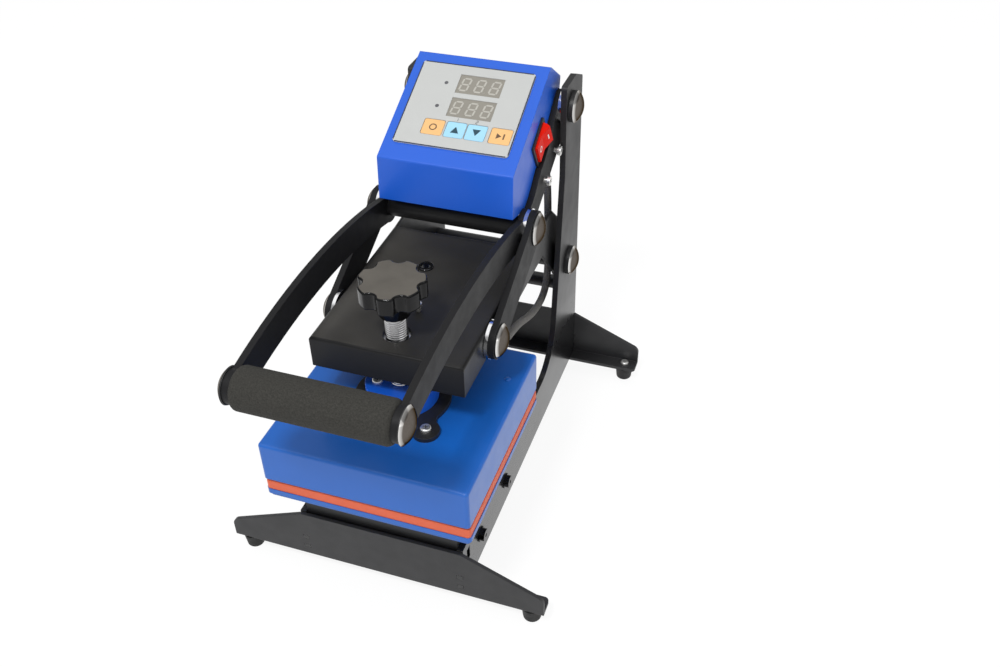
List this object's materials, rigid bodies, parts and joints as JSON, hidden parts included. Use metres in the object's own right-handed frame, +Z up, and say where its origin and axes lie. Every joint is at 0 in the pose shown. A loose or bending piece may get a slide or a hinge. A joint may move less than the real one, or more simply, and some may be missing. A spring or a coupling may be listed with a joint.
{
  "type": "label heat press",
  "caption": "Benchtop toggle heat press with a small square platen, blue covers, black lever arms and a sloped control box.",
  "frame": {"origin": "centre of the footprint on the table, under the rubber feet", "axes": "+X to the operator's right, +Y from the operator to the back, +Z up"},
  "size_m": [0.2672, 0.3899, 0.3362],
  "materials": {
    "black_coat": "satin",
    "blue_coat": "gloss",
    "chrome": "polished",
    "steel": "satin",
    "heater_aluminium": "satin",
    "silicone": "satin",
    "foam": "matt",
    "foot_rubber": "matt",
    "knob_plastic": "gloss",
    "black_plastic": "satin",
    "panel_film": "satin",
    "display": "gloss",
    "key_orange": "satin",
    "key_blue": "satin",
    "rocker_red": "gloss",
    "lamp": "gloss",
    "circuit_board": "satin",
    "insulation": "matt",
    "sleeve": "matt"
  },
  "bodies": {
    "frame": {"front_foot": "black_coat", "rear_foot": "black_coat", "rubber_feet": "foot_rubber", "foot_screws": "chrome", "side_plate_left": "black_coat", "side_plate_right": "black_coat", "rear_cross_bar": "black_coat", "base_channel": "black_coat", "side_bolts": "steel", "lower_platen": "blue_coat", "silicone_pad": "silicone", "heater_lead": "sleeve"},
    "lever": {"lever_left": "black_coat", "lever_right": "black_coat", "grip_bar": "steel", "foam_grip": "foam", "upper_pivot_pins": "steel", "toggle_shaft": "steel", "toggle_tube": "black_coat", "lever_washers": "chrome", "lever_collars": "black_plastic", "lever_cap_domes": "chrome", "box_shell": "blue_coat", "box_base": "blue_coat", "panel_overlay": "panel_film", "lower_display": "display", "upper_display": "display", "panel_lamps": "lamp", "control_board": "circuit_board", "rocker_bezel": "black_plastic", "box_screws": "chrome", "box_gland": "black_plastic"},
    "key_left": {"key_left": "key_orange"},
    "key_up": {"key_up": "key_blue"},
    "key_down": {"key_down": "key_blue"},
    "key_right": {"key_right": "key_orange"},
    "rocker": {"rocker": "rocker_red"},
    "links": {"toggle_links": "black_coat", "link_pins": "steel", "link_washers": "chrome", "link_collars": "black_plastic", "link_cap_domes": "chrome"},
    "arm": {"press_arm": "black_coat", "thread_bush": "steel", "arm_grommet": "foot_rubber", "lock_screw": "chrome", "rear_shaft": "steel", "rear_tube": "black_coat", "rear_collars": "black_plastic", "rear_cap_domes": "chrome"},
    "head": {"platen_cover": "blue_coat", "heating_plate": "heater_aluminium", "insulation_board": "insulation", "mounting_spider": "black_coat", "adapter_disc": "blue_coat", "head_screws": "chrome", "platen_gland": "black_plastic"},
    "knob": {"star_knob": "knob_plastic", "threaded_stem": "chrome"}
  },
  "joints": [
    {"name": "lever_swing", "type": "hinge", "parent": "frame", "child": "lever", "pos_m": [0, 0.1605, 0.297], "axis": [-1, 0, 0], "range_deg": [0, 90], "deforming": ["heater_lead"]},
    {"name": "arm_swing", "type": "hinge", "parent": "frame", "child": "arm", "pos_m": [0, 0.1605, 0.146], "axis": [-1, 0, 0], "range_deg": [0, 40.8]},
    {"name": "link_swing", "type": "hinge", "parent": "lever", "child": "links", "pos_m": [0, 0.0645, 0.237], "axis": [1, 0, 0], "range_deg": [0, 125.7]},
    {"name": "head_lift", "type": "slide", "parent": "arm", "child": "head", "axis": [0, 0, 1], "range_m": [0, 0.008]},
    {"name": "knob_turn", "type": "hinge", "parent": "head", "child": "knob", "pos_m": [0, -0.0586, 0.22], "axis": [0, 0, 1], "range_deg": [0, 1440]},
    {"name": "rocker_tip", "type": "hinge", "parent": "lever", "child": "rocker", "pos_m": [0.0557, 0.111, 0.2875], "axis": [0, -0.4955, 0.8686], "range_deg": [0, 18]},
    {"name": "press_left", "type": "slide", "parent": "lever", "child": "key_left", "axis": [0, 0.431, -0.9024], "range_m": [0, 0.0005], "stiffness_N_per_m": 400},
    {"name": "press_up", "type": "slide", "parent": "lever", "child": "key_up", "axis": [0, 0.431, -0.9024], "range_m": [0, 0.0005], "stiffness_N_per_m": 400},
    {"name": "press_down", "type": "slide", "parent": "lever", "child": "key_down", "axis": [0, 0.431, -0.9024], "range_m": [0, 0.0005], "stiffness_N_per_m": 400},
    {"name": "press_right", "type": "slide", "parent": "lever", "child": "key_right", "axis": [0, 0.431, -0.9024], "range_m": [0, 0.0005], "stiffness_N_per_m": 400}
  ],
  "couplings": [
    {"joint": "arm_swing", "follows": "lever_swing", "ratio": 0.45322},
    {"joint": "link_swing", "follows": "lever_swing", "ratio": 1.3956},
    {"joint": "knob_turn", "follows": "head_lift", "rad_per_m": 3141.6}
  ]
}
